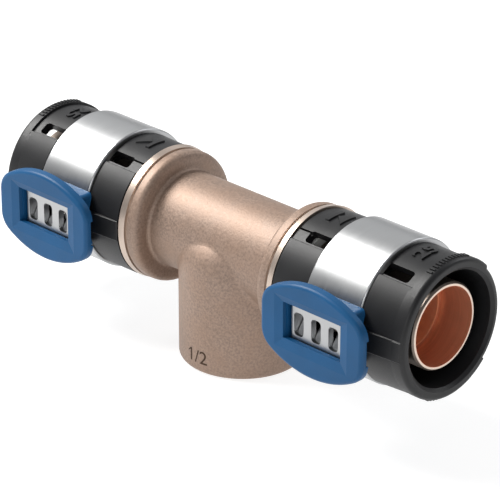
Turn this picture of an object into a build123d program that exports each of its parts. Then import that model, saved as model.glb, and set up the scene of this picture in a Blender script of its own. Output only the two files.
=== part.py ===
from build123d import *
from math import cos, radians, sin
import os

# Press tee for multilayer pipe. The run lies along X and the branch points down. The origin is the
# middle of the branch's end face. Lengths along the run are measured from the middle of the tee,
# and angles about the run go from the far side (0) over the top (90) to the near side (180).

# Tee body, the casting
axis_height = 26.8
run_radius = 11.1
branch_radius = 14.1
branch_dome_drop = 4.0
branch_dome_height = 10.5
branch_edge_radius = 1.3
cast_fillet = 1.6
flange_fillet = 0.8
body_half_length = 57.8

# Flange: a cast slope and ring, a turned groove and a machined rim
flange_face = 23.1
flange_radius = 15.1
flange_rim_radius = 15.45
flange_rim_width = 1.5
flange_rim_rise = 0.25
flange_groove_width = 0.7
flange_groove_depth = 0.5
flange_ring_width = 1.3
flange_slope_width = 2.3

# Branch thread, 1/2 inch parallel pipe thread at its minor diameter
thread_radius = 9.32
thread_depth = 15.0
thread_lead_in = 0.45
thread_lead_in_width = 0.9
branch_waterway_radius = 8.0

# Nipple that carries the pipe's end
nipple_radius = 9.7
nipple_wall = 1.9
nipple_tip_chamfer = 0.4
nipple_tip_wall = 0.9
nipple_tip_bore_offset = 3.8
shoulder_radius = 12.4
shoulder_width = 2.9
snap_groove_depth = 0.7
snap_groove_width = 1.0
snap_groove_offset = 1.1
grip_groove_count = 3
grip_groove_spacing = 1.6
grip_groove_depth = 0.3
grip_groove_width = 0.8

# Rubber rings and the washer at the pipe's end
ring_section = 1.3
ring_stand_out = 0.2
ring_groove_width = 1.6
ring_inset = 3.6
washer_thickness = 1.0
washer_seat_rise = 0.5
washer_clearance = 0.1

# Pipe that the press end takes
pipe_radius = 12.5
pipe_clearance = 0.4

# Press sleeve with its ear
sleeve_wall = 1.5
sleeve_width = 15.3
sleeve_middle = 40.65
sleeve_edge_radius = 0.4
ear_rise = 4.0
ear_height = 10.0
ear_wall = 1.5
ear_edge_radius = 1.1
ear_root_radius = 0.8
slot_count = 3
slot_spacing = 4.8
slot_width = 2.7
slot_height = 5.3
slot_corner_radius = 0.9
tab_thickness = 0.8
tab_bore_gap = 1.1
tab_side_gap = 0.15

# Collars on both sides of the sleeve
fit_gap = 0.1
collar_gap = 0.2
collar_radius = 15.15
collar_draft = 0.15
collar_flange_gap = 0.35
collar_hub_step = 0.95
spigot_step = 0.55
spigot_length = 4.5
spigot_chamfer = 0.4
collar_end = 60.0
lip_radius = 1.0
mouth_chamfer = 0.7
rim_width = 2.7
rim_rise = 0.4
rim_half_angle = 45.0

# Thicker near side of each collar: how far it stands out at the sleeve and at its far end
pad_half_angle = 52.0
outer_pad_rise = 0.8
inner_pad_rise = 0.45
pad_end_rise = 0.35
pad_edge_radius = 0.25

# Sight windows, alike above and below the near side
window_angle = 120.7
window_width = 3.05
window_corner_radius = 0.8
outer_window_end_gap = 2.0
inner_window_end_gap = 3.15
slit_angle = 117.0
slit_width = 0.5
slit_depth = 1.2

# Boss on the near side of each collar, which the indicator's ends stand over
boss_half_height = 2.4
boss_rise = 1.25
boss_fall = 0.8
boss_edge_radius = 0.25

# Press indicator, the blue frame round the ear
plate_half_width = 14.2
plate_half_height = 10.3
plate_arc_radius = 22.7
plate_corner_radius = 5.0
plate_thickness = 1.5
plate_edge_radius = 0.9
plate_gap = 0.3
view_width = 16.0
view_height = 8.3
view_rise = 0.6
funnel_width = 20.3
funnel_height = 12.0
funnel_rise = 0.2
funnel_depth = 0.4
skirt_wall = 1.2
skirt_depth = 0.6
skirt_notch_half_height = 2.9
frame_wall = 1.3
frame_gap = 0.15
frame_corner_radius = 1.2

# Places that follow from the sizes above
nipple_root = flange_face + shoulder_width
nipple_start = nipple_root + washer_thickness
sleeve_start = sleeve_middle - sleeve_width / 2
sleeve_end = sleeve_middle + sleeve_width / 2
spigot_radius = collar_radius - spigot_step
sleeve_bore = spigot_radius + fit_gap
sleeve_radius = sleeve_bore + sleeve_wall
ear_reach = sleeve_radius + ear_rise
pipe_way = pipe_radius + pipe_clearance
run_bore_radius = nipple_radius - nipple_wall
ring_floor = nipple_radius + ring_stand_out - ring_section
collar_middle_radius = (pipe_way + collar_radius) / 2
boss_reach = collar_radius + boss_rise
inner_collar_end = sleeve_start - collar_gap
outer_collar_start = sleeve_end + collar_gap
rim_start = collar_end - rim_width
plate_back = ear_reach + plate_gap
plate_front = plate_back + plate_thickness
washer_seat_radius = nipple_radius + washer_seat_rise

run_axis = Axis((0, 0, axis_height), (1, 0, 0))


def radial_plane(angle):
    """A plane through the run's axis: X along the run, Y outward at this angle."""
    turn = radians(angle)
    return Plane(origin=(0, 0, axis_height), x_dir=(1, 0, 0), z_dir=(0, -sin(turn), cos(turn)))


def outward_plane(angle, along):
    """A plane at the run's axis that faces outward at this angle, at this length along the run."""
    turn = radians(angle)
    return Plane(origin=(along, 0, axis_height), x_dir=(1, 0, 0), z_dir=(0, cos(turn), sin(turn)))


def near_plane(reach):
    """A plane that faces the near side, this far from the run's axis, in the middle of the sleeve."""
    return Plane(origin=(sleeve_middle, -reach, axis_height), x_dir=(1, 0, 0), z_dir=(0, -1, 0))


def cross_plane(along):
    """A plane across the run, at this length along it."""
    return Plane(origin=(along, 0, axis_height), x_dir=(0, 1, 0), z_dir=(1, 0, 0))


# Half of the casting's outline, turned about the run's axis and mirrored
rim_inner = flange_face - flange_rim_width
groove_inner = rim_inner - flange_groove_width
ring_inner = groove_inner - flange_ring_width
slope_inner = ring_inner - flange_slope_width
groove_start = flange_face + snap_groove_offset
ring_places = [sleeve_start + ring_inset, sleeve_end - ring_inset]
tip_bore_start = ring_places[1] + ring_groove_width / 2 + nipple_tip_bore_offset
tip_bore_radius = nipple_radius - nipple_tip_wall
grip_places = [sleeve_middle + (i - (grip_groove_count - 1) / 2) * grip_groove_spacing
               for i in range(grip_groove_count)]

with BuildPart() as tee_body:
    with BuildSketch(radial_plane(90)):
        with BuildLine():
            Polyline((0, 0), (0, run_radius), (slope_inner, run_radius))
            bend = RadiusArc((slope_inner, run_radius),
                             (slope_inner + flange_fillet, run_radius + flange_fillet), -flange_fillet)
            Spline(bend @ 1, (ring_inner, flange_radius), tangents=[(0, 1), (1, 0)])
            Polyline((ring_inner, flange_radius), (groove_inner, flange_radius),
                     (groove_inner, flange_radius - flange_groove_depth),
                     (rim_inner, flange_radius - flange_groove_depth),
                     (rim_inner, flange_rim_radius - flange_rim_rise),
                     (flange_face, flange_rim_radius),
                     (flange_face, shoulder_radius),
                     (nipple_root, shoulder_radius),
                     (nipple_root, washer_seat_radius),
                     (nipple_start, washer_seat_radius),
                     (nipple_start, nipple_radius),
                     (body_half_length - nipple_tip_chamfer, nipple_radius),
                     (body_half_length, nipple_radius - nipple_tip_chamfer),
                     (body_half_length, 0), (0, 0))
        make_face()
    revolve(axis=run_axis)
    mirror(about=Plane.YZ)

    dome_base = axis_height - branch_dome_drop
    with BuildSketch(Plane.XZ):
        with BuildLine():
            Polyline((0, dome_base + branch_dome_height), (0, 0),
                     (branch_radius - branch_edge_radius, 0))
            RadiusArc((branch_radius - branch_edge_radius, 0), (branch_radius, branch_edge_radius),
                      -branch_edge_radius)
            Line((branch_radius, branch_edge_radius), (branch_radius, dome_base))
            EllipticalCenterArc((0, dome_base), branch_radius, branch_dome_height, arc_size=90)
        make_face()
    revolve(axis=Axis.Z)
    crease = tee_body.edges(Select.NEW).filter_by(lambda edge: edge.center().Z > branch_radius)
    fillet(crease, cast_fillet)

    with BuildSketch(radial_plane(90)):
        with Locations((groove_start, shoulder_radius - snap_groove_depth)):
            Rectangle(snap_groove_width, 2 * snap_groove_depth, align=(Align.MIN, Align.MIN))
        for place in ring_places:
            with Locations((place, ring_floor)):
                Rectangle(ring_groove_width, 2 * ring_section, align=(Align.CENTER, Align.MIN))
        for place in grip_places:
            with Locations((place, nipple_radius - grip_groove_depth)):
                Rectangle(grip_groove_width, 2 * grip_groove_depth, align=(Align.CENTER, Align.MIN))
        mirror(about=Plane.YZ)
    revolve(axis=run_axis, mode=Mode.SUBTRACT)

    with BuildSketch(radial_plane(90)):
        with BuildLine():
            Polyline((0, 0), (0, run_bore_radius),
                     (tip_bore_start, run_bore_radius), (tip_bore_start, tip_bore_radius),
                     (body_half_length, tip_bore_radius), (body_half_length, 0), (0, 0))
        make_face()
        mirror(about=Plane.YZ)
    revolve(axis=run_axis, mode=Mode.SUBTRACT)
    with BuildSketch(Plane.XZ):
        Polygon((0, 0), (thread_radius + thread_lead_in_width, 0), (thread_radius, thread_lead_in),
                (thread_radius, thread_depth), (branch_waterway_radius, thread_depth),
                (branch_waterway_radius, axis_height), (0, axis_height), align=None)
    revolve(axis=Axis.Z, mode=Mode.SUBTRACT)

# Rubber rings, one for each groove
o_rings = []
for place in ring_places:
    with BuildPart() as o_ring:
        with BuildSketch(radial_plane(90)):
            with Locations((place, ring_floor + ring_section / 2)):
                Circle(ring_section / 2)
        revolve(axis=run_axis)
    o_rings.append(o_ring)

# Washer on its seat at the nipple's root
with BuildPart() as isolating_washer:
    with BuildSketch(cross_plane(nipple_root)):
        Circle(pipe_radius - washer_clearance)
        Circle(washer_seat_radius + washer_clearance, mode=Mode.SUBTRACT)
    extrude(amount=washer_thickness)

# Press sleeve: one sheet piece with a hollow ear that the pressing tool closes
crown_inside = ear_reach - ear_wall
with BuildPart() as press_sleeve:
    with BuildSketch(cross_plane(sleeve_start)) as sleeve_outline:
        Circle(sleeve_radius)
        with Locations((-ear_reach, 0)):
            Rectangle(ear_reach, ear_height, align=(Align.MIN, Align.CENTER))
        roots = sleeve_outline.vertices().filter_by_position(Axis.X, -crown_inside, 0)
        fillet(roots, ear_root_radius)
    extrude(amount=sleeve_width)
    crown = press_sleeve.faces().sort_by(Axis.Y)[0]
    fillet(crown.edges(), ear_edge_radius)
    ends = press_sleeve.faces().filter_by(Axis.X)
    fillet(ends.edges(), sleeve_edge_radius)
    with BuildSketch(cross_plane(sleeve_start)):
        Circle(sleeve_bore)
    extrude(amount=sleeve_width, mode=Mode.SUBTRACT)
    with BuildSketch(near_plane(sleeve_bore - ear_wall)):
        Rectangle(sleeve_width - 2 * ear_wall, ear_height - 2 * ear_wall)
    extrude(amount=crown_inside - sleeve_bore + ear_wall, mode=Mode.SUBTRACT)
    with BuildSketch(near_plane(sleeve_bore)):
        with GridLocations(slot_spacing, 0, slot_count, 1):
            RectangleRounded(slot_width, slot_height, slot_corner_radius)
    extrude(amount=ear_reach, mode=Mode.SUBTRACT)
    tab_width = slot_width - 2 * tab_side_gap
    tab_reach = sleeve_bore + tab_bore_gap
    for i in range(slot_count):
        tab_start = sleeve_middle + (i - (slot_count - 1) / 2) * slot_spacing - tab_width / 2
        with BuildSketch(cross_plane(tab_start)):
            Polygon((-ear_reach + tab_thickness, -slot_height / 2 - tab_thickness),
                    (-ear_reach + tab_thickness, -slot_height / 2),
                    (-tab_reach, slot_height / 2),
                    (-tab_reach, slot_height / 2 - tab_thickness),
                    (-crown_inside + tab_thickness / 2, -slot_height / 2 - tab_thickness), align=None)
        extrude(amount=tab_width)


def near_pad(collar, start, start_rise, end):
    """Thicken the near side of a collar, from its sleeve end to its far end, with softened sides."""
    with BuildSketch(radial_plane(180 - pad_half_angle)) as wedge:
        Polygon((start, collar_middle_radius), (start, collar_radius + start_rise),
                (end, collar_radius + pad_end_rise), (end, collar_middle_radius), align=None)
    revolve(wedge.sketch, axis=run_axis, revolution_arc=2 * pad_half_angle)
    for angle in (180 - pad_half_angle, 180 + pad_half_angle):
        middle = ((start + end) / 2, collar_radius + (start_rise + pad_end_rise) / 2, 0)
        edge = collar.edges().sort_by_distance(radial_plane(angle).from_local_coords(middle))[0]
        fillet(edge, pad_edge_radius)


def near_boss(collar, start, end):
    """Add the boss on a collar's near side, which falls away from the sleeve."""
    with BuildSketch(Plane.XY.offset(axis_height)) as side_view:
        Polygon((start, -collar_middle_radius), (start, -boss_reach), (end, boss_fall - boss_reach),
                (end, -collar_middle_radius), align=None)
    extrude(side_view.sketch, amount=boss_half_height, both=True)
    fillet(collar.faces().sort_by(Axis.Y)[0].edges(), boss_edge_radius)


def windows(start, end):
    """Cut a collar's sight windows, one above and one below the near side."""
    for angle in (window_angle, -window_angle):
        with BuildSketch(outward_plane(angle, (start + end) / 2)) as window:
            RectangleRounded(end - start, window_width, window_corner_radius)
        extrude(window.sketch, amount=2 * collar_radius, mode=Mode.SUBTRACT)


# Inner collar, between the flange and the sleeve
skin_start = flange_face + collar_flange_gap
snap_radius = shoulder_radius - snap_groove_depth + fit_gap
collar_hub_radius = collar_radius - collar_hub_step
spigot_edge = min(spigot_chamfer, (spigot_radius - pipe_way) / 2)
inner_window_start = skin_start + inner_window_end_gap
with BuildPart() as inner_collar:
    with BuildSketch(radial_plane(90)):
        Polygon((flange_face, shoulder_radius + fit_gap), (flange_face, collar_hub_radius),
                (skin_start, collar_hub_radius), (skin_start, collar_radius - collar_draft),
                (inner_collar_end, collar_radius), (inner_collar_end, spigot_radius),
                (inner_collar_end + spigot_length - spigot_edge, spigot_radius),
                (inner_collar_end + spigot_length, spigot_radius - spigot_edge),
                (inner_collar_end + spigot_length, pipe_way), (nipple_root, pipe_way),
                (nipple_root, shoulder_radius + fit_gap),
                (groove_start + snap_groove_width - fit_gap, shoulder_radius + fit_gap),
                (groove_start + snap_groove_width - fit_gap, snap_radius),
                (groove_start + fit_gap, snap_radius),
                (groove_start + fit_gap, shoulder_radius + fit_gap), align=None)
    revolve(axis=run_axis)
    near_pad(inner_collar, inner_collar_end, inner_pad_rise, skin_start)
    near_boss(inner_collar, inner_collar_end, skin_start)
    windows(inner_window_start, inner_collar_end + 2 * window_corner_radius)
    for angle in (slit_angle, -slit_angle):
        with BuildSketch(outward_plane(angle, skin_start).offset(collar_radius - slit_depth)):
            Rectangle(inner_window_end_gap + 2 * window_corner_radius, slit_width,
                      align=(Align.MIN, Align.CENTER))
        extrude(amount=2 * slit_depth, mode=Mode.SUBTRACT)

# Outer collar, at the pipe's mouth
mouth_edge = collar_radius - collar_draft
mouth_wall = mouth_edge - pipe_way
mouth_bevel = min(mouth_chamfer, mouth_wall / 3)
lip = min(lip_radius, mouth_wall / 2)
rim_radius = collar_radius + rim_rise
with BuildPart() as outer_collar:
    with BuildSketch(radial_plane(90)):
        with BuildLine():
            Polyline((collar_end - lip, mouth_edge), (outer_collar_start, collar_radius),
                     (outer_collar_start, spigot_radius),
                     (outer_collar_start - spigot_length + spigot_edge, spigot_radius),
                     (outer_collar_start - spigot_length, spigot_radius - spigot_edge),
                     (outer_collar_start - spigot_length, pipe_way),
                     (collar_end - mouth_bevel, pipe_way),
                     (collar_end, pipe_way + mouth_bevel),
                     (collar_end, mouth_edge - lip))
            RadiusArc((collar_end, mouth_edge - lip),
                      (collar_end - lip, mouth_edge), -lip)
        make_face()
    revolve(axis=run_axis)
    near_pad(outer_collar, outer_collar_start, outer_pad_rise, rim_start)
    near_boss(outer_collar, outer_collar_start, rim_start)
    for middle in (90, -90):
        with BuildSketch(radial_plane(middle - rim_half_angle)):
            with BuildLine():
                Polyline((collar_end, rim_radius - lip), (collar_end, mouth_edge - lip),
                         (rim_start, mouth_edge - lip), (rim_start, rim_radius),
                         (collar_end - lip, rim_radius))
                RadiusArc((collar_end - lip, rim_radius),
                          (collar_end, rim_radius - lip), lip)
            make_face()
        revolve(axis=run_axis, revolution_arc=2 * rim_half_angle)
    windows(outer_collar_start - 2 * window_corner_radius, rim_start - outer_window_end_gap)

# Press indicator: a plate with a funnel window, a skirt behind its rim and a frame round the ear
ear_way_width = sleeve_width + 2 * frame_gap
ear_way_height = ear_height + 2 * frame_gap
with BuildPart() as press_indicator:
    with BuildSketch(near_plane(plate_back)) as plate_outline:
        Rectangle(2 * plate_half_width, 2 * plate_half_height)
        for side in (1, -1):
            with Locations((0, side * (plate_half_height - plate_arc_radius))):
                Circle(plate_arc_radius, mode=Mode.INTERSECT)
        fillet(plate_outline.vertices(), plate_corner_radius)
    extrude(amount=plate_thickness)
    front = press_indicator.faces().sort_by(Axis.Y)[0]
    fillet(front.edges(), plate_edge_radius)
    with BuildSketch(near_plane(plate_back)):
        add(plate_outline.sketch_local)
        offset(amount=-skirt_wall, mode=Mode.SUBTRACT)
        Rectangle(2 * plate_half_width, 2 * skirt_notch_half_height, mode=Mode.SUBTRACT)
    extrude(amount=-skirt_depth)
    with BuildSketch(near_plane(plate_back)):
        RectangleRounded(ear_way_width + 2 * frame_wall, ear_way_height + 2 * frame_wall,
                         frame_corner_radius)
    extrude(amount=-(plate_back - sleeve_bore))
    with BuildSketch(cross_plane(sleeve_middle)):
        add(sleeve_outline.sketch_local)
        offset(amount=frame_gap, kind=Kind.INTERSECTION)
    extrude(amount=ear_way_width / 2, both=True, mode=Mode.SUBTRACT)
    with BuildSketch(near_plane(plate_back)):
        Rectangle(ear_way_width, ear_way_height)
    extrude(amount=-(plate_back - sleeve_bore), mode=Mode.SUBTRACT)
    with BuildSketch(cross_plane(sleeve_middle)):
        Circle(max(sleeve_radius, collar_radius + outer_pad_rise) + frame_gap)
    extrude(amount=plate_half_width, both=True, mode=Mode.SUBTRACT)
    with BuildSketch(near_plane(sleeve_bore)):
        Rectangle(2 * plate_half_width, 2 * (boss_half_height + 2 * frame_gap))
    extrude(amount=boss_reach + frame_gap - sleeve_bore, mode=Mode.SUBTRACT)
    with BuildSketch(near_plane(plate_back)):
        with Locations((0, view_rise)):
            Rectangle(view_width, view_height)
    extrude(amount=plate_thickness, mode=Mode.SUBTRACT)
    with BuildSketch(near_plane(plate_front - funnel_depth)):
        with Locations((0, view_rise)):
            Rectangle(view_width, view_height)
    with BuildSketch(near_plane(plate_front)):
        with Locations((0, funnel_rise)):
            Rectangle(funnel_width, funnel_height)
    loft(mode=Mode.SUBTRACT)

right_pieces = {"inner_collar": inner_collar, "outer_collar": outer_collar,
                "press_sleeve": press_sleeve, "press_indicator": press_indicator,
                "isolating_washer": isolating_washer, "inner_o_ring": o_rings[0],
                "outer_o_ring": o_rings[1]}
os.makedirs("parts", exist_ok=True)
tee_body.part.label = "tee_body"
export_step(tee_body.part, "parts/tee_body.step")
for name, right in right_pieces.items():
    with BuildPart() as left:
        mirror(right.part, about=Plane.YZ)
    for side, piece in (("right", right), ("left", left)):
        piece.part.label = f"{name}_{side}"
        export_step(piece.part, f"parts/{piece.part.label}.step")
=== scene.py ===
from math import atan2, cos, hypot, pi, radians, sin

import bmesh
import bpy
from bpy.props import (FloatProperty, FloatVectorProperty, IntProperty, PointerProperty,
                       StringProperty)
from mathutils import Matrix, Vector
from mathutils.bvhtree import BVHTree
from mathutils.geometry import barycentric_transform


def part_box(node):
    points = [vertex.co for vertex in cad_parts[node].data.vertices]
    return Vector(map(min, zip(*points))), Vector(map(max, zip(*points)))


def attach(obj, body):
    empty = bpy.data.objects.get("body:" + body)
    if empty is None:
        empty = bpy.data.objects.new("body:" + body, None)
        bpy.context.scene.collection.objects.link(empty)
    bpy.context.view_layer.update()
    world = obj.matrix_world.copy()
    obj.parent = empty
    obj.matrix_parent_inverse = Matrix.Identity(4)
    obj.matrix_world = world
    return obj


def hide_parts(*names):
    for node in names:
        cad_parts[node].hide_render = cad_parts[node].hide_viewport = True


bl_info = {
    "name": "Press Tee Fitting Looks",
    "version": (1, 0, 0),
    "blender": (4, 5, 0),
    "location": "3D View > Sidebar > Press Tee",
    "description": "Finishes, moulded marks, branch thread and studio for a press tee fitting",
    "category": "Object",
}

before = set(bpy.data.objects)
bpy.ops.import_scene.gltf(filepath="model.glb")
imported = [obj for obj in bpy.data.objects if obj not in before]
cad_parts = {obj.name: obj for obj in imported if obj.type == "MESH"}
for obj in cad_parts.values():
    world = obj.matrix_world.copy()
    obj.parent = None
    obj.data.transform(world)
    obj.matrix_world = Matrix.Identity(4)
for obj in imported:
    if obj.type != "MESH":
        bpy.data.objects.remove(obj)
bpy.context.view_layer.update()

# Both ends of the run with their side of X, and places that the solids' boxes give, in metres
ENDS = {"right": 1, "left": -1}
RUN_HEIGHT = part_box("inner_o_ring_right")[0].z / 2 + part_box("inner_o_ring_right")[1].z / 2
FLANGE_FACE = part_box("inner_collar_right")[0].x
COLLAR_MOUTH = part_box("outer_collar_right")[1].x

# Sizes that no box gives, in metres
BRANCH_RADIUS = 0.0141
BRANCH_BORE_LIMIT = 0.0200
COLLAR_RADIUS = 0.01515
COLLAR_RIM_RADIUS = COLLAR_RADIUS + 0.0004
NIPPLE_TIP = 0.0578
NIPPLE_BORE = 0.0088
RUN_BORE = 0.0078
THREAD_WALL = 0.00932
THREAD_DEPTH = 0.00116

# How added meshes are made: shading, and marks wrapped onto round surfaces
SHARP_ANGLE = radians(28)
WRAP_STEP = 0.0003
MARK_SINK = 0.00004
PLATE_DRAFT = 0.94
TICK_DRAFT = 0.72

# Where most values of a noise lie
NOISE_RANGE = (0.3, 0.7)


# Sizes and colours that a user would change

class FinishSettings(bpy.types.PropertyGroup):
    bronze: FloatVectorProperty(
        name="Cast bronze", description="Colour of the blasted casting", subtype="COLOR",
        default=(0.305, 0.218, 0.170), min=0, max=1)
    bronze_turned: FloatVectorProperty(
        name="Turned bronze", description="Colour where the casting is machined", subtype="COLOR",
        default=(0.57, 0.47, 0.40), min=0, max=1)
    bore: FloatVectorProperty(
        name="Bore", description="Colour inside the nipples and the branch", subtype="COLOR",
        default=(0.69, 0.310, 0.185), min=0, max=1)
    steel: FloatVectorProperty(
        name="Steel", description="Colour of the press sleeves", subtype="COLOR",
        default=(0.45, 0.455, 0.46), min=0, max=1)
    black: FloatVectorProperty(
        name="Black plastic", description="Colour of the collars", subtype="COLOR",
        default=(0.011, 0.011, 0.012), min=0, max=1)
    blue: FloatVectorProperty(
        name="Blue plastic", description="Colour of the press indicators", subtype="COLOR",
        default=(0.008, 0.078, 0.20), min=0, max=1)
    washer: FloatVectorProperty(
        name="Washer", description="Colour of the isolating washers", subtype="COLOR",
        default=(0.72, 0.72, 0.69), min=0, max=1)
    rubber: FloatVectorProperty(
        name="Rubber", description="Colour of the sealing rings", subtype="COLOR",
        default=(0.012, 0.012, 0.012), min=0, max=1)
    # Painted shade: a dark tone for the branch's raised figures that stands in for the shade of sunk
    # figures
    figure_shade: FloatVectorProperty(
        name="Painted figure shade", description="Dark tone of the branch's figures", subtype="COLOR",
        default=(0.055, 0.031, 0.020), min=0, max=1)
    grain: FloatProperty(
        name="Casting grain", description="Size of the casting's grain", default=0.0005,
        unit="LENGTH", min=0.0001, max=0.01)


class ThreadSettings(bpy.types.PropertyGroup):
    wall_radius: FloatProperty(
        name="Wall radius", description="Radius of the branch's plain wall, the thread's crests",
        default=THREAD_WALL, unit="LENGTH", min=0.001, max=0.1)
    depth: FloatProperty(
        name="Depth", description="How deep the thread is cut into the wall",
        default=THREAD_DEPTH, unit="LENGTH", min=0.0001, max=0.01)
    pitch: FloatProperty(
        name="Pitch", description="Rise of one turn", default=0.001814, unit="LENGTH",
        min=0.0002, max=0.01)
    run_out: FloatProperty(
        name="Run-out", description="Length over which the first and last turns fade out",
        default=0.0009, unit="LENGTH", min=0.0001, max=0.01)
    rows: IntProperty(
        name="Rows", description="Rows of faces in one turn", default=12, min=4, max=32)


class RimSettings(bpy.types.PropertyGroup):
    radius: FloatProperty(
        name="Rim radius", description="Outer radius of the rim on the collar's near side",
        default=0.01553, unit="LENGTH", min=0.001, max=0.1)
    lip: FloatProperty(
        name="Lip", description="Rounding of the rim at the mouth", default=0.001,
        unit="LENGTH", min=0.0001, max=0.01)
    half_angle: FloatProperty(
        name="Half angle", description="Half the angle that the near side's rim covers",
        default=radians(48), subtype="ANGLE", min=0.1, max=1.5)
    ledge_end: FloatProperty(
        name="Ledge end", description="How far from the mouth the ledge beside the ear ends",
        default=0.0007, unit="LENGTH", min=0.0002, max=0.01)


class MarkSettings(bpy.types.PropertyGroup):
    height: FloatProperty(
        name="Height", description="How far a moulded mark stands out", default=0.00036,
        unit="LENGTH", min=0.00002, max=0.001)
    pipe_size: StringProperty(
        name="Pipe size", description="Plain size number on the outer collars", default="25")
    number_width: FloatProperty(
        name="Number width", description="Width of the pipe size, along the collar's round",
        default=0.0058, unit="LENGTH", min=0.001, max=0.02)
    number_height: FloatProperty(
        name="Number height", description="Height of the pipe size, along the run",
        default=0.0032, unit="LENGTH", min=0.001, max=0.01)
    branch_size: StringProperty(
        name="Branch size", description="Plain size number on the branch", default="1/2")
    tick_count: IntProperty(
        name="Ticks", description="How many ticks stand in a row on a collar's rim", default=13,
        min=2, max=60)
    tick_arc: FloatProperty(
        name="Tick row", description="Angle that a row of ticks covers", default=radians(42),
        subtype="ANGLE", min=0.1, max=1.5)
    tick_length: FloatProperty(
        name="Tick length", description="Length of a tick along the run", default=0.0017,
        unit="LENGTH", min=0.0002, max=0.01)
    tick_width: FloatProperty(
        name="Tick width", description="Width of a tick round the collar", default=0.00062,
        unit="LENGTH", min=0.0001, max=0.005)


class StudioSettings(bpy.types.PropertyGroup):
    floor_colour: FloatVectorProperty(
        name="Floor", description="Colour of the studio floor", subtype="COLOR",
        default=(0.35, 0.35, 0.35), min=0, max=1)
    floor_glow: FloatProperty(
        name="Floor glow", description="Light that the floor gives, as a light table does",
        default=0.80, min=0, max=5)
    key_power: FloatProperty(
        name="Key light", description="Power of the large soft light at the upper left",
        default=6.6, unit="POWER", min=0, max=1000)
    front_power: FloatProperty(
        name="Front light", description="Power of the soft light at the front right", default=0.8,
        unit="POWER", min=0, max=1000)
    back_power: FloatProperty(
        name="Back light", description="Power of the soft light behind", default=1.2,
        unit="POWER", min=0, max=1000)
    panel_power: FloatProperty(
        name="Panel", description="Power of the wide dim panel at the far left", default=0.5,
        unit="POWER", min=0, max=1000)
    sky: FloatProperty(
        name="Surroundings", description="Brightness of the surroundings", default=0.30,
        min=0, max=5)
    sky_colour: FloatVectorProperty(
        name="Surroundings' tone", description="Colour of the surroundings", subtype="COLOR",
        default=(0.95, 0.97, 1.0), min=0, max=1)
    camera_place: FloatVectorProperty(
        name="Camera", description="Place of the camera", subtype="TRANSLATION",
        default=(0.40205, -0.41167, 0.30139))
    camera_lens: FloatProperty(
        name="Lens", description="Focal length of the camera in millimetres", default=210.85,
        min=10, max=1000)
    camera_shift: FloatVectorProperty(
        name="Shift", description="Shift of the picture, as a share of its width", size=2,
        default=(0.0145, -0.0160))


# Node helpers

def add_node(tree, kind, inputs=None, **settings):
    """Add a node, with its settings, and its inputs given as values or as sockets to link."""
    node = tree.nodes.new(kind)
    for name, value in settings.items():
        setattr(node, name, value)
    for name, value in (inputs or {}).items():
        if isinstance(value, bpy.types.NodeSocket):
            tree.links.new(value, node.inputs[name])
        else:
            node.inputs[name].default_value = value
    return node


def calc(tree, operation, first, second=0.0):
    """The result of one sum, on sockets or values."""
    return add_node(tree, "ShaderNodeMath", {0: first, 1: second}, operation=operation).outputs[0]


def distance_of(tree, first, second):
    """The distance from an axis, from two coordinates across it."""
    return calc(tree, "SQRT", calc(tree, "ADD", calc(tree, "MULTIPLY", first, first),
                                   calc(tree, "MULTIPLY", second, second)))


def step_up(tree, value, start, end):
    """0 below start and 1 above end, with a smooth rise between them."""
    step = add_node(tree, "ShaderNodeMapRange", {"Value": value, "From Min": start, "From Max": end},
                    interpolation_type="SMOOTHSTEP")
    return step.outputs["Result"]


def remap(tree, value, low, high, start=0.0, end=1.0):
    """low where the value is start, and high where it is end."""
    inputs = {"Value": value, "From Min": start, "From Max": end, "To Min": low, "To Max": high}
    return add_node(tree, "ShaderNodeMapRange", inputs).outputs["Result"]


def blend_value(tree, share, first, second):
    """Mix two numbers, each a socket or a value, by a share."""
    return add_node(tree, "ShaderNodeMix", {0: share, 2: first, 3: second}).outputs[0]


def blend_colour(tree, share, first, second):
    """Mix two colours, each a socket or a plain colour, by a share."""
    mix = tree.nodes.new("ShaderNodeMix")
    mix.data_type = "RGBA"
    for name, value in (("Factor_Float", share), ("A_Color", first), ("B_Color", second)):
        socket = next(s for s in mix.inputs if s.identifier == name)
        if isinstance(value, bpy.types.NodeSocket):
            tree.links.new(value, socket)
        elif name == "Factor_Float":
            socket.default_value = value
        else:
            socket.default_value = (*value[:3], 1)
    return next(s for s in mix.outputs if s.identifier == "Result_Color")


def toned(colour, *factors):
    """A colour made lighter or darker, by one factor or by one for each channel."""
    factors = factors if len(factors) == 3 else factors * 3
    return tuple(min(1, factor * channel) for factor, channel in zip(factors, colour))


def noise(tree, place, size, detail=2.0, roughness=0.5):
    """Noise with features of this size in metres, from 0 to 1."""
    inputs = {"Vector": place, "Scale": 1 / size, "Detail": detail, "Roughness": roughness}
    return add_node(tree, "ShaderNodeTexNoise", inputs).outputs["Fac"]


def turning_lines(tree, place, size, squash, detail=2.0, roughness=0.5):
    """Fine lines across the run, as a lathe or a roller leaves them."""
    squashed = add_node(tree, "ShaderNodeMapping", {"Vector": place, "Scale": (1.0, squash, squash)})
    return noise(tree, squashed.outputs["Vector"], size, detail, roughness)


def raise_surface(tree, height, depth, strength):
    """A normal that follows a height, where a height of 1 is this depth in metres."""
    inputs = {"Height": height, "Distance": depth, "Strength": strength}
    return add_node(tree, "ShaderNodeBump", inputs).outputs["Normal"]


def new_material(name):
    """An empty material, its tree, its shader and its place coordinates in metres."""
    material = bpy.data.materials.new(name)
    material.use_nodes = True
    tree = material.node_tree
    tree.nodes.clear()
    shader = tree.nodes.new("ShaderNodeBsdfPrincipled")
    output = tree.nodes.new("ShaderNodeOutputMaterial")
    tree.links.new(shader.outputs["BSDF"], output.inputs["Surface"])
    place = tree.nodes.new("ShaderNodeTexCoord").outputs["Object"]
    return material, tree, shader, place


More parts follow.
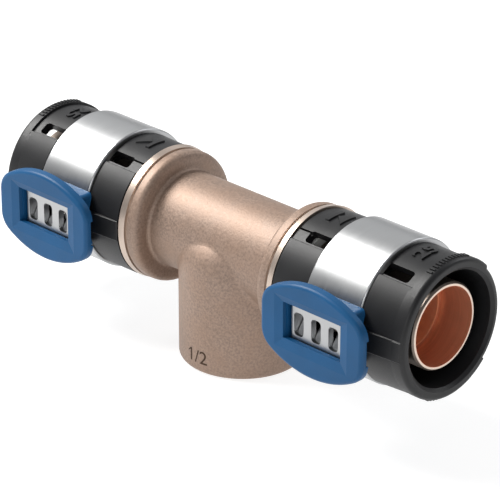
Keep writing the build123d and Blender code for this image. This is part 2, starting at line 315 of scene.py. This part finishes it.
def feed(tree, shader, **inputs):
    """Set a shader's inputs by their names, each to a socket, a colour or a value."""
    for name, value in inputs.items():
        socket = shader.inputs[name.replace("_", " ").title().replace("Ior", "IOR")]
        if isinstance(value, bpy.types.NodeSocket):
            tree.links.new(value, socket)
        elif isinstance(value, (tuple, list)):
            socket.default_value = (*value[:3], 1)
        else:
            socket.default_value = value


# Finishes

def bronze_finish(finish):
    """A blasted casting with turned rims and nipples, copper tones in its bores, and painted light
    and shade.
    """
    nipple_bore_edge = (NIPPLE_BORE + 0.00004, NIPPLE_BORE + 0.00010)
    run_bore_edge = (RUN_BORE + 0.0002, RUN_BORE + 0.0005)
    thread_root = THREAD_WALL + THREAD_DEPTH
    thread_edge = (thread_root + 0.00007, thread_root + 0.00017)
    branch_bore_edge = (BRANCH_BORE_LIMIT, BRANCH_BORE_LIMIT + 0.0001)
    branch_face_edge = (0.0001, 0.00018)
    flange_rim_edge = (FLANGE_FACE - 0.00225, FLANGE_FACE - 0.00218)
    nipple_edge = (0.0270, 0.0272)
    tip_edge = (NIPPLE_TIP - 0.00008, NIPPLE_TIP - 0.00002)

    material, tree, shader, place = new_material("cast_bronze")
    axes = add_node(tree, "ShaderNodeSeparateXYZ", {"Vector": place}).outputs
    along = calc(tree, "ABSOLUTE", axes["X"])
    run_reach = distance_of(tree, axes["Y"], calc(tree, "SUBTRACT", axes["Z"], RUN_HEIGHT))
    branch_reach = distance_of(tree, axes["X"], axes["Y"])
    outside_branch = calc(tree, "MAXIMUM", step_up(tree, branch_reach, *thread_edge),
                          step_up(tree, axes["Z"], *branch_bore_edge))
    outside = calc(tree, "MULTIPLY", step_up(tree, run_reach, *nipple_bore_edge), outside_branch)
    branch_face = calc(tree, "SUBTRACT", 1.0, step_up(tree, axes["Z"], *branch_face_edge))
    turned = calc(tree, "MAXIMUM", step_up(tree, along, *flange_rim_edge), branch_face)
    nipple = step_up(tree, along, *nipple_edge)
    tip = step_up(tree, along, *tip_edge)

    grain = noise(tree, place, finish.grain, detail=3.0, roughness=0.62)
    pits = noise(tree, place, finish.grain * 0.42, detail=1.0)
    patches = noise(tree, place, 0.0065)
    warm = toned(finish.bronze, 1.02, 0.93, 0.84)
    cast = blend_colour(tree, remap(tree, grain, 0.0, 1.0, 0.34, 0.66),
                        toned(finish.bronze, 0.74), toned(finish.bronze, 1.24))
    cast = blend_colour(tree, remap(tree, patches, 0.0, 0.55, 0.35, 0.75), cast, warm)
    rings = turning_lines(tree, place, 0.00016, squash=0.03)
    bright = blend_colour(tree, rings, toned(finish.bronze_turned, 0.93), finish.bronze_turned)
    # Painted shade: the nipples' outer sides, in the gap under the collars, take turned bronze
    # darkened to under half
    bright = blend_colour(tree, nipple, bright, toned(finish.bronze_turned, 0.45))
    # Painted highlight: the nipples' tip faces take turned bronze made lighter
    bright = blend_colour(tree, tip, bright, toned(finish.bronze_turned, 1.30))
    bore_rings = turning_lines(tree, place, 0.00045, squash=0.05)
    bore = blend_colour(tree, bore_rings, toned(finish.bore, 0.80), toned(finish.bore, 1.15))
    # Painted light: the run's narrower bore past the nipples is made lighter than the rest of the
    # bore
    bore = blend_colour(tree, step_up(tree, run_reach, *run_bore_edge),
                        toned(finish.bore, 1.6, 1.9, 2.0), bore)
    colour = blend_colour(tree, outside, bore, blend_colour(tree, turned, cast, bright))

    cast_metal, turned_metal, bore_metal = 0.42, 0.9, 0.62
    metal = blend_value(tree, turned, cast_metal, turned_metal)
    metal = blend_value(tree, outside, bore_metal, metal)
    bore_rough = 0.36
    cast_rough = remap(tree, grain, 0.44, 0.60, *NOISE_RANGE)
    turned_rough = calc(tree, "ADD", remap(tree, rings, 0.30, 0.38),
                        remap(tree, calc(tree, "SUBTRACT", nipple, tip), 0.0, 0.12))
    rough = blend_value(tree, turned, cast_rough, turned_rough)
    rough = blend_value(tree, outside, bore_rough, rough)
    cast_part = calc(tree, "MULTIPLY", outside, calc(tree, "SUBTRACT", 1.0, turned))
    height = blend_value(tree, cast_part, calc(tree, "MULTIPLY", rings, 0.10),
                         calc(tree, "ADD", grain, calc(tree, "MULTIPLY", pits, 0.45)))
    feed(tree, shader, base_color=colour, roughness=rough, metallic=metal,
         normal=raise_surface(tree, height, 0.00008, 0.55))
    return material


def steel_finish(finish):
    """Rolled stainless sheet with fine lines round the sleeve."""
    material, tree, shader, place = new_material("brushed_steel")
    lines = turning_lines(tree, place, 0.00009, squash=0.02, detail=3.0, roughness=0.6)
    cloud = noise(tree, place, 0.012)
    colour = blend_colour(tree, lines, toned(finish.steel, 0.88), toned(finish.steel, 1.08))
    rough = calc(tree, "ADD", remap(tree, lines, 0.30, 0.40, *NOISE_RANGE),
                 remap(tree, cloud, -0.01, 0.02, *NOISE_RANGE))
    feed(tree, shader, base_color=colour, metallic=1.0, roughness=rough,
         normal=raise_surface(tree, lines, 0.000006, 0.2))
    return material


def moulded_finish(name, colour, roughness, texture, variation, gloss=0.5):
    """Moulded plastic with a fine eroded texture and a slight cloudiness."""
    material, tree, shader, place = new_material(name)
    texture_height = noise(tree, place, texture, roughness=0.6)
    cloud = noise(tree, place, 0.009)
    tone = blend_colour(tree, remap(tree, cloud, 0.0, 1.0, *NOISE_RANGE),
                        toned(colour, 1 - variation), toned(colour, 1 + variation))
    rough = calc(tree, "ADD", remap(tree, texture_height, roughness - 0.05, roughness + 0.05,
                                    *NOISE_RANGE),
                 remap(tree, cloud, -0.02, 0.03, *NOISE_RANGE))
    feed(tree, shader, base_color=tone, roughness=rough, specular_ior_level=gloss,
         normal=raise_surface(tree, texture_height, 0.00003, 0.25))
    return material


def build_finishes(finish):
    """Every material, by the name of the slot that it belongs to, and the figures' painted shade."""
    return {
        "bronze": bronze_finish(finish),
        "stainless": steel_finish(finish),
        "black_plastic": moulded_finish("black_collar_plastic", finish.black, roughness=0.44,
                                        texture=0.00022, variation=0.10, gloss=0.36),
        "blue_plastic": moulded_finish("blue_indicator_plastic", finish.blue, roughness=0.42,
                                       texture=0.00030, variation=0.08, gloss=0.24),
        # Painted shade on the branch's figures
        "figure_shade": moulded_finish("painted_figure_shade", finish.figure_shade, roughness=0.65,
                                 texture=0.00020, variation=0.20, gloss=0.2),
        "washer": moulded_finish("pale_washer_plastic", finish.washer, roughness=0.50,
                                 texture=0.00025, variation=0.05),
        "rubber": moulded_finish("black_ring_rubber", finish.rubber, roughness=0.62,
                                 texture=0.00015, variation=0.12),
    }


SLOT_OF_PAIR = {"inner_collar": "black_plastic", "outer_collar": "black_plastic",
                "press_sleeve": "stainless", "press_indicator": "blue_plastic",
                "isolating_washer": "washer", "inner_o_ring": "rubber", "outer_o_ring": "rubber"}
SLOT_OF_NODE = {"tee_body": "bronze"}
SLOT_OF_NODE.update({f"{pair}_{end}": slot for end in ENDS for pair, slot in SLOT_OF_PAIR.items()})
ADDED_FINISHES = {"bronze": "cast_bronze", "black_plastic": "black_collar_plastic",
                  "figure_shade": "painted_figure_shade"}


def finish_of(slot):
    """The material that an added piece takes, once the finishes are built."""
    return bpy.data.materials[ADDED_FINISHES[slot]]


# Mesh helpers

def place_object(name, mesh, material):
    """Link a finished mesh whose place is in its points."""
    mesh.name = name
    mesh.materials.clear()
    mesh.materials.append(material)
    piece = bpy.data.objects.new(name, mesh)
    bpy.context.scene.collection.objects.link(piece)
    return piece


def evaluated_mesh(piece):
    """The plain mesh that a linked object shows, with its modifiers applied."""
    bpy.context.view_layer.update()
    graph = bpy.context.evaluated_depsgraph_get()
    return bpy.data.meshes.new_from_object(piece.evaluated_get(graph))


def welded_copy(mesh):
    """A copy of a mesh with its loose triangles joined, ready to be changed."""
    work = bmesh.new()
    work.from_mesh(mesh)
    bmesh.ops.remove_doubles(work, verts=work.verts, dist=1e-6)
    return work


def finished_shape(work, name, sources=()):
    """A plain closed mesh with outward normals, shaded like its sources where it follows them."""
    bmesh.ops.triangulate(work, faces=work.faces)
    bmesh.ops.recalc_face_normals(work, faces=work.faces)
    if any(not edge.is_manifold for edge in work.edges):
        raise RuntimeError(f"{name} has an open seam")
    mesh = bpy.data.meshes.new(name)
    work.to_mesh(mesh)
    work.free()
    if mesh.attributes.get("custom_normal"):
        mesh.attributes.remove(mesh.attributes["custom_normal"])
    mesh.shade_smooth()
    mesh.set_sharp_from_angle(angle=SHARP_ANGLE)
    for face in mesh.polygons:
        face.material_index = 0
    if sources:
        keep_shading(mesh, sources)
    return mesh


def keep_shading(mesh, sources):
    """Give each corner the shading direction of the source face that it lies on."""
    points, faces, directions = [], [], []
    for source in sources:
        first = len(points)
        points.extend(v.co.copy() for v in source.vertices)
        normals = [n.vector.copy() for n in source.corner_normals]
        for face in source.polygons:
            faces.append([first + i for i in face.vertices])
            directions.append([normals[i] for i in face.loop_indices])
    tree = BVHTree.FromPolygons(points, faces)
    shading = [n.vector.copy() for n in mesh.corner_normals]
    inward_share, search_distance, least_agreement, least_length = 0.05, 0.000002, 0.9, 0.1
    for face in mesh.polygons:
        centre = face.center
        for corner, vertex in zip(face.loop_indices, face.vertices):
            place = mesh.vertices[vertex].co
            _, normal, index, _ = tree.find_nearest(place.lerp(centre, inward_share), search_distance)
            if index is None or normal.dot(face.normal) < least_agreement:
                continue
            a, b, c = (points[i] for i in faces[index])
            direction = barycentric_transform(place, a, b, c, *directions[index])
            if direction.length > least_length:
                shading[corner] = direction.normalized()
    mesh.normals_split_custom_set(shading)


def cut_thread(work, thread):
    """Put a helical grid in place of the branch's plain wall."""
    tolerance, least_columns = 0.00002, 24
    wall = [v for v in work.verts if v.co.z < BRANCH_BORE_LIMIT
            and abs(hypot(v.co.x, v.co.y) - thread.wall_radius) < tolerance]
    start, end = min(v.co.z for v in wall), max(v.co.z for v in wall)
    inside = set(wall)
    bmesh.ops.delete(work, geom=[f for f in work.faces if inside.issuperset(f.verts)],
                     context="FACES")
    rims = [sorted((v for v in wall if abs(v.co.z - level) < tolerance),
                   key=lambda v: atan2(v.co.y, v.co.x)) for level in (start, end)]
    around = len(rims[0])
    if around != len(rims[1]) or around < least_columns:
        raise RuntimeError("the branch's wall has uneven rims")
    rows = round((end - start) / thread.pitch * thread.rows)
    below = rims[0]
    for row in range(1, rows + 1):
        level = start + (end - start) * row / rows
        fade = min(1, (level - start) / thread.run_out, (end - level) / thread.run_out)
        above = rims[1]
        if row < rows:
            above = []
            for foot in rims[0]:
                angle = atan2(foot.co.y, foot.co.x)
                turn = 2 * pi * level / thread.pitch - angle
                reach = thread.wall_radius + thread.depth * fade * (0.5 - 0.5 * cos(turn))
                above.append(work.verts.new((reach * cos(angle), reach * sin(angle), level)))
        for i in range(around):
            j = (i + 1) % around
            work.faces.new((below[i], below[j], above[j], above[i]))
        below = above


def swept_solid(rings):
    """A closed mesh through rings of points, with a flat face at each end."""
    work = bmesh.new()
    loops = [[work.verts.new(point) for point in ring] for ring in rings]
    for near, far in zip(loops, loops[1:]):
        for i in range(len(near)):
            j = (i + 1) % len(near)
            work.faces.new((near[i], near[j], far[j], far[i]))
    work.faces.new(loops[0][::-1])
    work.faces.new(loops[-1])
    return finished_shape(work, "swept")


def near_rim(rim, side):
    """The rim on the collar's near side, with the mouth's rounded lip."""
    rim_start, crown_start, start_drop = 0.0036, 0.0032, 0.00003
    foot_radius, mouth_radius, mouth_inset = 0.0144, 0.0140, 0.00001
    lip_angle, lip_steps, arc_steps = radians(82), 8, 48
    outline = [(rim_start, foot_radius), (rim_start, rim.radius - start_drop),
               (crown_start, rim.radius)]
    for i in range(lip_steps + 1):
        angle = lip_angle * i / lip_steps
        outline.append((rim.lip * (1 - sin(angle)), rim.radius - rim.lip * (1 - cos(angle))))
    outline.append((mouth_inset, mouth_radius))
    rings = []
    for i in range(arc_steps + 1):
        angle = pi - rim.half_angle + 2 * rim.half_angle * i / arc_steps
        rings.append([(side * (COLLAR_MOUTH - back), reach * cos(angle),
                       RUN_HEIGHT + reach * sin(angle)) for back, reach in outline])
    return swept_solid(rings)


def near_ledge(rim, side):
    """The run-out of the ledge beside the ear, which fades into the rim."""
    foot, half_width, half_flat, edge_drop, end_slope = 0.0145, 0.002385, 0.00215, 0.00025, 0.0002
    crest = ((0.0034, 0.01562), (0.0030, 0.015625), (0.0016, 0.01560), (rim.ledge_end, 0.01552),
             (rim.ledge_end - end_slope, 0.0152))
    rings = []
    for back, top in crest:
        shape = [(-half_width, foot), (-half_width, top - edge_drop), (-half_flat, top),
                 (half_flat, top), (half_width, top - edge_drop), (half_width, foot)]
        rings.append([(side * (COLLAR_MOUTH - back), -reach, RUN_HEIGHT + height)
                      for height, reach in shape])
    return swept_solid(rings)


def united(mesh, additions):
    """The union of a closed mesh and some closed additions."""
    host = bpy.data.objects.new("host", mesh)
    bpy.context.scene.collection.objects.link(host)
    tools = []
    for addition in additions:
        tool = bpy.data.objects.new("tool", addition)
        bpy.context.scene.collection.objects.link(tool)
        modifier = host.modifiers.new("join", "BOOLEAN")
        modifier.operation = "UNION"
        modifier.solver = "EXACT"
        modifier.object = tool
        tools.append(tool)
    result = evaluated_mesh(host)
    host.modifiers.clear()
    for helper in (host, *tools):
        bpy.data.objects.remove(helper)
    return result


def number_mesh(text, width, height, rise, weight):
    """Raised figures as a flat mesh, centred, with this width and height."""
    curve = bpy.data.curves.new("figures", "FONT")
    curve.body = text
    curve.extrude = 0.05
    curve.offset = weight
    curve.resolution_u = 6
    shape = bpy.data.objects.new("figures", curve)
    bpy.context.scene.collection.objects.link(shape)
    mesh = evaluated_mesh(shape)
    bpy.data.objects.remove(shape)
    bpy.data.curves.remove(curve)
    low = Vector(min(v.co[i] for v in mesh.vertices) for i in range(3))
    high = Vector(max(v.co[i] for v in mesh.vertices) for i in range(3))
    size = high - low
    middle = (low + high) / 2
    for vertex in mesh.vertices:
        point = vertex.co - middle
        vertex.co = (point.x * width / size.x, point.y * height / size.y,
                     rise * (point.z / size.z + 0.5))
    return mesh


def plate_mesh(outlines, rise):
    """Raised plates as a flat mesh: each outline has a drafted wall and a flat top."""
    mesh = bpy.data.meshes.new("plates")
    work = bmesh.new()
    for outline in outlines:
        corners = [Vector(corner) for corner in outline]
        middle = sum(corners, Vector((0, 0))) / len(corners)
        foot = [work.verts.new((*corner, 0)) for corner in corners]
        top = [work.verts.new((*middle.lerp(corner, PLATE_DRAFT), rise)) for corner in corners]
        work.faces.new(foot[::-1])
        work.faces.new(top)
        for i in range(len(corners)):
            j = (i + 1) % len(corners)
            work.faces.new((foot[i], foot[j], top[j], top[i]))
    work.to_mesh(mesh)
    work.free()
    return mesh


def add_flag(mesh, width, height, rise):
    """Give the plain stroke of a 1, at the left of flat figures, its flag."""
    root, tip, top = 0.0001 - width / 2, -0.00075 - width / 2, height / 2
    root_depth, tip_drop, tip_depth = 0.00047, 0.00077, 0.00034
    clear_of_top = 0.000004
    outline = [(root, top), (tip, top - tip_drop), (tip, top - tip_drop - tip_depth),
               (root, top - root_depth)]
    work = bmesh.new()
    work.from_mesh(mesh)
    work.from_mesh(plate_mesh([outline], rise - clear_of_top))
    work.to_mesh(mesh)
    work.free()


def wrap(mesh, bend):
    """Cut a flat mesh across at even steps and bend each point onto a curved surface."""
    work = bmesh.new()
    work.from_mesh(mesh)
    bmesh.ops.remove_doubles(work, verts=work.verts, dist=1e-7)
    left = min(v.co.x for v in work.verts)
    right = max(v.co.x for v in work.verts)
    cut = left + WRAP_STEP
    while cut < right:
        bmesh.ops.bisect_plane(work, geom=work.verts[:] + work.edges[:] + work.faces[:],
                               plane_co=(cut, 0, 0), plane_no=(1, 0, 0))
        cut += WRAP_STEP
    for vertex in work.verts:
        vertex.co = bend(vertex.co.copy())
    bmesh.ops.triangulate(work, faces=work.faces)
    bmesh.ops.recalc_face_normals(work, faces=work.faces)
    work.to_mesh(mesh)
    work.free()


def round_collar(along, sink, facing):
    """A bend onto the right end's top: Y points to the tee if facing is 1, else to the mouth."""
    def bend(point):
        angle = pi / 2 - facing * point.x / COLLAR_RADIUS
        reach = COLLAR_RADIUS + point.z - sink
        return Vector((along - facing * point.y, reach * cos(angle),
                       RUN_HEIGHT + reach * sin(angle)))
    return bend


def round_branch(azimuth, level, sink):
    """A bend onto the branch: X reads round it and Y points up."""
    def bend(point):
        angle = azimuth + point.x / BRANCH_RADIUS
        reach = BRANCH_RADIUS + point.z - sink
        return Vector((reach * cos(angle), reach * sin(angle), level + point.y))
    return bend


def mark_collars(name, mesh):
    """Put a mark of the right end's top on the collars, above and below at both ends."""
    as_it_is = Matrix.Identity(4)
    centre = Matrix.Translation((0, 0, RUN_HEIGHT))
    turned_below = centre @ Matrix.Rotation(pi, 4, "X") @ centre.inverted()
    turned_left = Matrix.Rotation(pi, 4, "Z")
    for end, turn in (("right", as_it_is), ("left", turned_left)):
        for side, tilt in (("top", as_it_is), ("bottom", turned_below)):
            copy = mesh.copy()
            copy.transform(turn @ tilt)
            piece = place_object(f"{name}_{side}_{end}", copy, finish_of("black_plastic"))
            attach(piece, "root")


# Geometry nodes for the rows of ticks

def tick_row_tree():
    """Ticks spread evenly over an arc about the run, each a bar with a drafted top."""
    tree = bpy.data.node_groups.new("tick_row", "GeometryNodeTree")
    tree.interface.new_socket("Geometry", in_out="OUTPUT", socket_type="NodeSocketGeometry")
    for name, kind in (("Geometry", "NodeSocketGeometry"), ("Count", "NodeSocketInt"),
                       ("Arc", "NodeSocketFloat"), ("Radius", "NodeSocketFloat"),
                       ("Along", "NodeSocketFloat"), ("Axis Height", "NodeSocketFloat"),
                       ("Length", "NodeSocketFloat"), ("Width", "NodeSocketFloat"),
                       ("Rise", "NodeSocketFloat"), ("Material", "NodeSocketMaterial")):
        tree.interface.new_socket(name, in_out="INPUT", socket_type=kind)
    start = tree.nodes.new("NodeGroupInput").outputs
    end = tree.nodes.new("NodeGroupOutput")

    index = tree.nodes.new("GeometryNodeInputIndex").outputs[0]
    last = calc(tree, "SUBTRACT", start["Count"], 1.0)
    share = calc(tree, "SUBTRACT", calc(tree, "DIVIDE", index, last), 0.5)
    angle = calc(tree, "MULTIPLY", share, start["Arc"])
    side = calc(tree, "MULTIPLY", calc(tree, "SINE", angle), start["Radius"])
    top = calc(tree, "ADD", calc(tree, "MULTIPLY", calc(tree, "COSINE", angle), start["Radius"]),
               start["Axis Height"])
    place = add_node(tree, "ShaderNodeCombineXYZ", {"X": start["Along"], "Y": side, "Z": top})
    turn = add_node(tree, "ShaderNodeCombineXYZ", {"X": calc(tree, "MULTIPLY", angle, -1.0)})
    points = add_node(tree, "GeometryNodePoints", {"Count": start["Count"],
                                                   "Position": place.outputs[0]})
    size = add_node(tree, "ShaderNodeCombineXYZ", {"X": start["Length"], "Y": start["Width"],
                                                   "Z": calc(tree, "MULTIPLY", start["Rise"], 2.0)})
    bar = add_node(tree, "GeometryNodeMeshCube", {"Size": size.outputs[0]})
    normal = tree.nodes.new("GeometryNodeInputNormal").outputs[0]
    upward = add_node(tree, "ShaderNodeSeparateXYZ", {"Vector": normal}).outputs["Z"]
    is_top = add_node(tree, "FunctionNodeCompare", {0: upward, 1: 0.5}, operation="GREATER_THAN")
    drafted = add_node(tree, "GeometryNodeScaleElements",
                       {"Geometry": bar.outputs["Mesh"], "Selection": is_top.outputs[0],
                        "Scale": TICK_DRAFT})
    ticks = add_node(tree, "GeometryNodeInstanceOnPoints",
                     {"Points": points.outputs[0], "Instance": drafted.outputs[0],
                      "Rotation": turn.outputs[0]})
    real = add_node(tree, "GeometryNodeRealizeInstances", {"Geometry": ticks.outputs[0]})
    finished = add_node(tree, "GeometryNodeSetMaterial", {"Geometry": real.outputs[0],
                                                          "Material": start["Material"]})
    tree.links.new(finished.outputs[0], end.inputs[0])
    return tree


def grown_mesh(tree, values):
    """The plain mesh that a geometry node tree makes from these inputs."""
    host = bpy.data.objects.new("host", bpy.data.meshes.new("host"))
    bpy.context.scene.collection.objects.link(host)
    modifier = host.modifiers.new("grow", "NODES")
    modifier.node_group = tree
    for item in tree.interface.items_tree:
        if item.in_out == "INPUT" and item.name in values:
            modifier[item.identifier] = values[item.name]
    mesh = evaluated_mesh(host)
    host.modifiers.clear()
    bpy.data.objects.remove(host)
    return mesh


# The studio's parts

def build_floor(studio):
    """A wide pale floor that glows like a light table."""
    mesh = bpy.data.meshes.new("studio_floor")
    work = bmesh.new()
    bmesh.ops.create_grid(work, x_segments=8, y_segments=8, size=3.0)
    work.to_mesh(mesh)
    work.free()
    material, tree, shader, place = new_material("studio_floor")
    tone = blend_colour(tree, noise(tree, place, 0.08), toned(studio.floor_colour, 0.985),
                        studio.floor_colour)
    feed(tree, shader, base_color=tone, roughness=0.85, emission_color=(1, 1, 1),
         emission_strength=studio.floor_glow)
    floor = place_object("studio_floor", mesh, material)


def build_surroundings(scene, studio):
    """An even sky all round."""
    world = bpy.data.worlds.new("studio_world")
    scene.world = world
    world.use_nodes = True
    background = world.node_tree.nodes["Background"]
    background.inputs["Color"].default_value = (*studio.sky_colour, 1)
    background.inputs["Strength"].default_value = studio.sky


def look_at(place, target):
    """The turn that makes a lamp or a camera look from its place at the target."""
    return (target - Vector(place)).to_track_quat("-Z", "Y").to_euler()


def build_lamps(scene, studio, target):
    """Soft area lamps, each wider than it is high, that all face the fitting."""
    height_share = 0.8
    for name, place, size, power, colour in (
            ("key_light", (-0.42, -0.14, 0.52), 0.38, studio.key_power, (1.0, 0.99, 0.97)),
            ("front_light", (0.30, -0.60, 0.30), 0.30, studio.front_power, (1.0, 1.0, 1.0)),
            ("back_light", (0.15, 0.60, 0.40), 0.40, studio.back_power, (0.97, 0.98, 1.0)),
            ("panel_light", (-0.46, 0.48, 0.40), 0.60, studio.panel_power, (1.0, 1.0, 1.0))):
        light = bpy.data.lights.new(name, "AREA")
        light.shape = "RECTANGLE"
        light.size = size
        light.size_y = size * height_share
        light.energy = power
        light.color = colour
        lamp = bpy.data.objects.new(name, light)
        lamp.location = place
        lamp.rotation_euler = look_at(place, target)
        scene.collection.objects.link(lamp)


def build_camera(scene, studio, target):
    """A long lens from the photograph's side."""
    lens = bpy.data.cameras.new("camera")
    lens.lens = studio.camera_lens
    lens.sensor_width = 36
    lens.shift_x, lens.shift_y = studio.camera_shift
    lens.clip_end = 20
    camera = bpy.data.objects.new("camera", lens)
    camera.location = studio.camera_place
    camera.rotation_euler = look_at(studio.camera_place, target)
    scene.collection.objects.link(camera)
    scene.camera = camera


# Operators

class PRESSTEE_OT_finishes(bpy.types.Operator):
    """Give every solid of the fitting its finish"""
    bl_idname = "presstee.finishes"
    bl_label = "Finishes"

    def execute(self, context):
        materials = build_finishes(context.scene.presstee_finish)
        for name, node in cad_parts.items():
            material = materials[SLOT_OF_NODE[name]]
            node.data.materials.clear()
            node.data.materials.append(material)
        return {"FINISHED"}


class PRESSTEE_OT_branch_thread(bpy.types.Operator):
    """Cut the thread's turns in the branch"""
    bl_idname = "presstee.branch_thread"
    bl_label = "Branch Thread"

    def execute(self, context):
        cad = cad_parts["tee_body"].data
        work = welded_copy(cad)
        cut_thread(work, context.scene.presstee_thread)
        mesh = finished_shape(work, "threaded_tee", [cad])
        piece = place_object("threaded_tee", mesh, finish_of("bronze"))
        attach(piece, "root")
        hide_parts("tee_body")
        return {"FINISHED"}


class PRESSTEE_OT_collar_rims(bpy.types.Operator):
    """Carry the outer collars' rims and ledges on over the near side"""
    bl_idname = "presstee.collar_rims"
    bl_label = "Collar Rims"

    def execute(self, context):
        rim = context.scene.presstee_rim
        for end, side in ENDS.items():
            node = f"outer_collar_{end}"
            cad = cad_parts[node].data
            additions = [near_rim(rim, side), near_ledge(rim, side)]
            joined = united(finished_shape(welded_copy(cad), node), additions)
            mesh = finished_shape(welded_copy(joined), f"rimmed_collar_{end}", [cad, *additions])
            piece = place_object(f"rimmed_collar_{end}", mesh, finish_of("black_plastic"))
            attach(piece, "root")
            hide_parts(node)
        return {"FINISHED"}


class PRESSTEE_OT_collar_numbers(bpy.types.Operator):
    """Raise the plain pipe size on the outer collars"""
    bl_idname = "presstee.collar_numbers"
    bl_label = "Collar Numbers"

    def execute(self, context):
        marks = context.scene.presstee_marks
        back_from_mouth = 0.0078
        mesh = number_mesh(marks.pipe_size, marks.number_width, marks.number_height,
                           marks.height, weight=0.018)
        wrap(mesh, round_collar(COLLAR_MOUTH - back_from_mouth, MARK_SINK, facing=1))
        mark_collars("pipe_size", mesh)
        return {"FINISHED"}


class PRESSTEE_OT_collar_ticks(bpy.types.Operator):
    """Raise a row of plain ticks on the outer collars' rims"""
    bl_idname = "presstee.collar_ticks"
    bl_label = "Collar Ticks"

    def execute(self, context):
        marks = context.scene.presstee_marks
        back_from_mouth, rise_share = 0.00175, 0.8
        mesh = grown_mesh(tick_row_tree(), {
            "Count": marks.tick_count, "Arc": marks.tick_arc, "Radius": COLLAR_RIM_RADIUS,
            "Along": COLLAR_MOUTH - back_from_mouth, "Axis Height": RUN_HEIGHT,
            "Length": marks.tick_length, "Width": marks.tick_width,
            "Rise": marks.height * rise_share, "Material": finish_of("black_plastic")})
        mark_collars("rim_ticks", mesh)
        return {"FINISHED"}


class PRESSTEE_OT_insertion_marks(bpy.types.Operator):
    """Raise a triangle that points at a bar on the inner collars"""
    bl_idname = "presstee.insertion_marks"
    bl_label = "Insertion Marks"

    def execute(self, context):
        marks = context.scene.presstee_marks
        from_flange = 0.0053
        triangle = [(-0.00255, 0.00235), (0.0, -0.0005), (0.00255, 0.00235)]
        bar = [(-0.0026, -0.0018), (0.0026, -0.0018), (0.0026, -0.0008), (-0.0026, -0.0008)]
        mesh = plate_mesh([triangle, bar], marks.height)
        wrap(mesh, round_collar(FLANGE_FACE + from_flange, 2 * MARK_SINK, facing=-1))
        mark_collars("insertion_mark", mesh)
        return {"FINISHED"}


class PRESSTEE_OT_branch_number(bpy.types.Operator):
    """Put the plain thread size on the branch, in a dark tone that paints a sunk figure's shade"""
    bl_idname = "presstee.branch_number"
    bl_label = "Branch Number"

    def execute(self, context):
        marks = context.scene.presstee_marks
        azimuth, level = radians(-89.3), 0.0040
        width, height, rise = 0.0049, 0.0031, 0.00006
        mesh = number_mesh(marks.branch_size, width, height, rise, weight=0.0)
        if marks.branch_size.startswith("1"):
            add_flag(mesh, width, height, rise)
        wrap(mesh, round_branch(azimuth, level, MARK_SINK))
        piece = place_object("branch_size", mesh, finish_of("figure_shade"))
        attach(piece, "root")
        return {"FINISHED"}


class PRESSTEE_OT_studio(bpy.types.Operator):
    """Set up the pale floor, the soft lights and the camera"""
    bl_idname = "presstee.studio"
    bl_label = "Studio"

    def execute(self, context):
        scene, studio = context.scene, context.scene.presstee_studio
        target = Vector((0, 0, RUN_HEIGHT))
        build_floor(studio)
        build_surroundings(scene, studio)
        build_lamps(scene, studio, target)
        build_camera(scene, studio, target)
        scene.view_settings.view_transform = "Standard"
        return {"FINISHED"}


class PRESSTEE_PT_panel(bpy.types.Panel):
    """The fitting's looks, piece by piece"""
    bl_idname = "PRESSTEE_PT_panel"
    bl_label = "Press Tee"
    bl_space_type = "VIEW_3D"
    bl_region_type = "UI"
    bl_category = "Press Tee"

    def draw(self, context):
        layout = self.layout
        for operator in OPERATORS:
            layout.operator(operator.bl_idname)
        for group, name in SETTINGS:
            box = layout.box()
            box.label(text=name.replace("presstee_", "").title())
            for prop in group.__annotations__:
                box.prop(getattr(context.scene, name), prop)


SETTINGS = ((FinishSettings, "presstee_finish"), (ThreadSettings, "presstee_thread"),
            (RimSettings, "presstee_rim"), (MarkSettings, "presstee_marks"),
            (StudioSettings, "presstee_studio"))
OPERATORS = (PRESSTEE_OT_finishes, PRESSTEE_OT_branch_thread, PRESSTEE_OT_collar_rims,
             PRESSTEE_OT_collar_numbers, PRESSTEE_OT_collar_ticks, PRESSTEE_OT_insertion_marks,
             PRESSTEE_OT_branch_number, PRESSTEE_OT_studio)


def register():
    for group, name in SETTINGS:
        bpy.utils.register_class(group)
        setattr(bpy.types.Scene, name, PointerProperty(type=group))
    for part in (*OPERATORS, PRESSTEE_PT_panel):
        bpy.utils.register_class(part)


def unregister():
    for part in (PRESSTEE_PT_panel, *reversed(OPERATORS)):
        bpy.utils.unregister_class(part)
    for group, name in reversed(SETTINGS):
        delattr(bpy.types.Scene, name)
        bpy.utils.unregister_class(group)


def main():
    register()
    bpy.ops.presstee.finishes()
    bpy.ops.presstee.branch_thread()
    bpy.ops.presstee.collar_rims()
    bpy.ops.presstee.collar_numbers()
    bpy.ops.presstee.collar_ticks()
    bpy.ops.presstee.insertion_marks()
    bpy.ops.presstee.branch_number()
    bpy.ops.presstee.studio()


if __name__ == "__main__":
    main()
